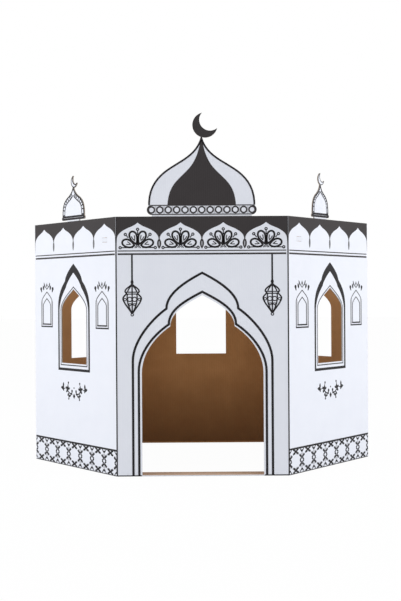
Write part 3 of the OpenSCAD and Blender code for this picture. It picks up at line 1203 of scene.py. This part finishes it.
def side_dome_print(context, half_w):
    """Beaded outline, black bar and outlined crescent of a side dome, with the grey core of its bar."""
    edge = dome_side(
        half_w, foot=12.0, point=124.0, stem=6.0, bulge=(1.03, 0.46, 0.42, 0.13),
        waist=(0.42, 0.73), sweep=(0.2, 0.085, 0.06, 0.88),
    )
    shown = above(edge, 17.0)
    black = new_drawing(context)
    black.strip(over_middle(shown), 5.6, 0.0)
    stroke = 0.053 * half_w
    lower = [p for p in shown if p[1] < 108.0]
    inner, _ = rails(lower, 4.0 * stroke, 0.0, False)
    beads = [("line", stroke, lower[i], inner[i]) for i in range(1, len(lower) - 1, 2)]
    black.both([("line", stroke, *inner), *beads])
    black.fill(round_bar(half_w + 4.5, 6.0, 18.0))
    black.box(-half_w, 12.0, half_w, 21.5)
    black.strip(crescent_outline(22.0, 124.0), 0.75 * stroke, 0.0, closed=True)
    black.box(-3.0, 120.0, 3.0, 127.0)
    core = new_drawing(context, OVER)
    core.box(8.0 - half_w, 13.2, half_w - 8.0, 14.2)
    return black, core


class PLAYHOUSE_OT_side_domes(bpy.types.Operator):
    """Print the two side domes: beaded outline, black bar and outlined crescent"""

    bl_idname = "playhouse.side_domes"
    bl_label = "Side domes"

    def execute(self, context):
        sizes = context.scene.playhouse_sizes
        places = dome_places(context)
        for name, width in (("left", sizes.left_dome_w), ("right", sizes.right_dome_w)):
            black, core = side_dome_print(context, width / MM / 2)
            place = [places[name]]
            stamp(context, name + "_dome_print", black, place, "line", height=sizes.wall_h)
            stamp(context, name + "_dome_core", core, place, "grey", height=sizes.wall_h)
        return {"FINISHED"}


def backdrop_ray(tree):
    """A mask that is 1 for rays that show the background: camera, glossy and transmission rays."""
    path = tree.nodes.new("ShaderNodeLightPath")
    glossy = maths(tree, "MAXIMUM", (path, "Is Camera Ray"), (path, "Is Glossy Ray"))
    return maths(tree, "MAXIMUM", (glossy, 0), (path, "Is Transmission Ray"))


class PLAYHOUSE_OT_stage(bpy.types.Operator):
    """Set up the floor, the soft light and the camera"""

    bl_idname = "playhouse.stage"
    bl_label = "Stage"

    def floor(self, context):
        """A pale floor that looks as white as the background."""
        material = bpy.data.materials.new("pale_floor")
        material.use_nodes = True
        tree = material.node_tree
        shader = tree.nodes["Principled BSDF"]
        pale = (*context.scene.playhouse_colours.floor, 1.0)
        feed(tree, shader, {"Base Color": pale, "Roughness": 0.9})
        glow = tree.nodes.new("ShaderNodeEmission")
        white_share = 0.97
        share = maths(tree, "MULTIPLY", (backdrop_ray(tree), 0), white_share)
        mix = new_node(
            tree, "ShaderNodeMixShader", {0: (share, 0), 1: (shader, "BSDF"), 2: (glow, "Emission")}
        )
        feed(tree, tree.nodes["Material Output"], {"Surface": (mix, "Shader")})
        mesh = bpy.data.meshes.new("floor")
        reach = 30.0
        mesh.from_pydata(
            [(-reach, -reach, 0.0), (reach, -reach, 0.0), (reach, reach, 0.0), (-reach, reach, 0.0)],
            [], [(0, 1, 2, 3)],
        )
        mesh.materials.append(material)
        floor = bpy.data.objects.new("floor", mesh)
        context.scene.collection.objects.link(floor)

    def sky(self, context):
        """Even light from all round, with a white background."""
        world = bpy.data.worlds.new("studio")
        world.use_nodes = True
        tree = world.node_tree
        even = tree.nodes["Background"]
        level = context.scene.playhouse_stage.sky
        feed(tree, even, {"Color": (0.97, 0.985, 1.0, 1.0), "Strength": level})
        white = new_node(tree, "ShaderNodeBackground", {"Color": (1.0, 1.0, 1.0, 1.0)})
        mix = new_node(tree, "ShaderNodeMixShader", {
            0: (backdrop_ray(tree), 0), 1: (even, "Background"), 2: (white, "Background"),
        })
        feed(tree, tree.nodes["World Output"], {"Surface": (mix, "Shader")})
        context.scene.world = world

    def lights(self, context):
        """A large soft light on each side, aimed at the middle of the house."""
        target = Vector((0.0, 0.0, 0.5))
        side_x = 4.6
        front_y = -1.5
        height = 2.2
        width = 2.6
        for name, x in (("left_light", -side_x), ("right_light", side_x)):
            spot = Vector((x, front_y, height))
            data = bpy.data.lights.new(name, "AREA")
            data.energy = context.scene.playhouse_stage.side_light
            data.shape = "RECTANGLE"
            data.size = width
            data.size_y = width
            lamp = bpy.data.objects.new(name, data)
            lamp.location = spot
            lamp.rotation_euler = (target - spot).to_track_quat("-Z", "Y").to_euler()
            context.scene.collection.objects.link(lamp)

    def camera(self, context):
        """The camera, as it was fitted to the corners of the walls."""
        data = bpy.data.cameras.new("camera")
        data.lens = context.scene.playhouse_stage.lens
        data.sensor_width = 36.0
        camera = bpy.data.objects.new("camera", data)
        yaw = math.radians(-0.285)
        tilt = math.radians(0.22)
        roll = math.radians(-0.34)
        spot = Matrix.Translation((-0.0275, -4.7659, 0.6281))
        turned = Matrix.Rotation(yaw, 4, "Z") @ Matrix.Rotation(math.pi / 2 - tilt, 4, "X")
        camera.matrix_world = spot @ turned @ Matrix.Rotation(roll, 4, "Z")
        context.scene.collection.objects.link(camera)
        context.scene.camera = camera

    def execute(self, context):
        self.floor(context)
        self.sky(context)
        self.lights(context)
        self.camera(context)
        context.scene.view_settings.view_transform = "Standard"
        return {"FINISHED"}


OPERATORS = (
    PLAYHOUSE_OT_boards,
    PLAYHOUSE_OT_friezes,
    PLAYHOUSE_OT_door_lines,
    PLAYHOUSE_OT_lanterns,
    PLAYHOUSE_OT_window_frames,
    PLAYHOUSE_OT_niches,
    PLAYHOUSE_OT_garlands,
    PLAYHOUSE_OT_baseboards,
    PLAYHOUSE_OT_main_dome,
    PLAYHOUSE_OT_side_domes,
    PLAYHOUSE_OT_stage,
)


class PLAYHOUSE_PT_sidebar(bpy.types.Panel):
    """Sizes, colours and steps of the playhouse"""

    bl_idname = "PLAYHOUSE_PT_sidebar"
    bl_label = "Playhouse"
    bl_space_type = "VIEW_3D"
    bl_region_type = "UI"
    bl_category = "Playhouse"

    def draw(self, context):
        for group in GROUPS:
            values = getattr(context.scene, group)
            column = self.layout.column()
            for name in values.__annotations__:
                column.prop(values, name)
        for operator in OPERATORS:
            self.layout.operator(operator.bl_idname)


GROUPS = {
    "playhouse_sizes": PlayhouseSizes,
    "playhouse_colours": PlayhouseColours,
    "playhouse_stage": PlayhouseStage,
}


def register():
    """Registers the classes and hangs their values on the scene."""
    for cls in (*GROUPS.values(), *OPERATORS, PLAYHOUSE_PT_sidebar):
        bpy.utils.register_class(cls)
    for name, group in GROUPS.items():
        setattr(bpy.types.Scene, name, bpy.props.PointerProperty(type=group))


def unregister():
    """Takes the values and the classes away again."""
    for name in GROUPS:
        delattr(bpy.types.Scene, name)
    for cls in (PLAYHOUSE_PT_sidebar, *reversed(OPERATORS), *reversed(GROUPS.values())):
        bpy.utils.unregister_class(cls)


def main():
    register()
    for operator in OPERATORS:
        group, name = operator.bl_idname.split(".")
        getattr(getattr(bpy.ops, group), name)()


if __name__ == "__main__":
    main()
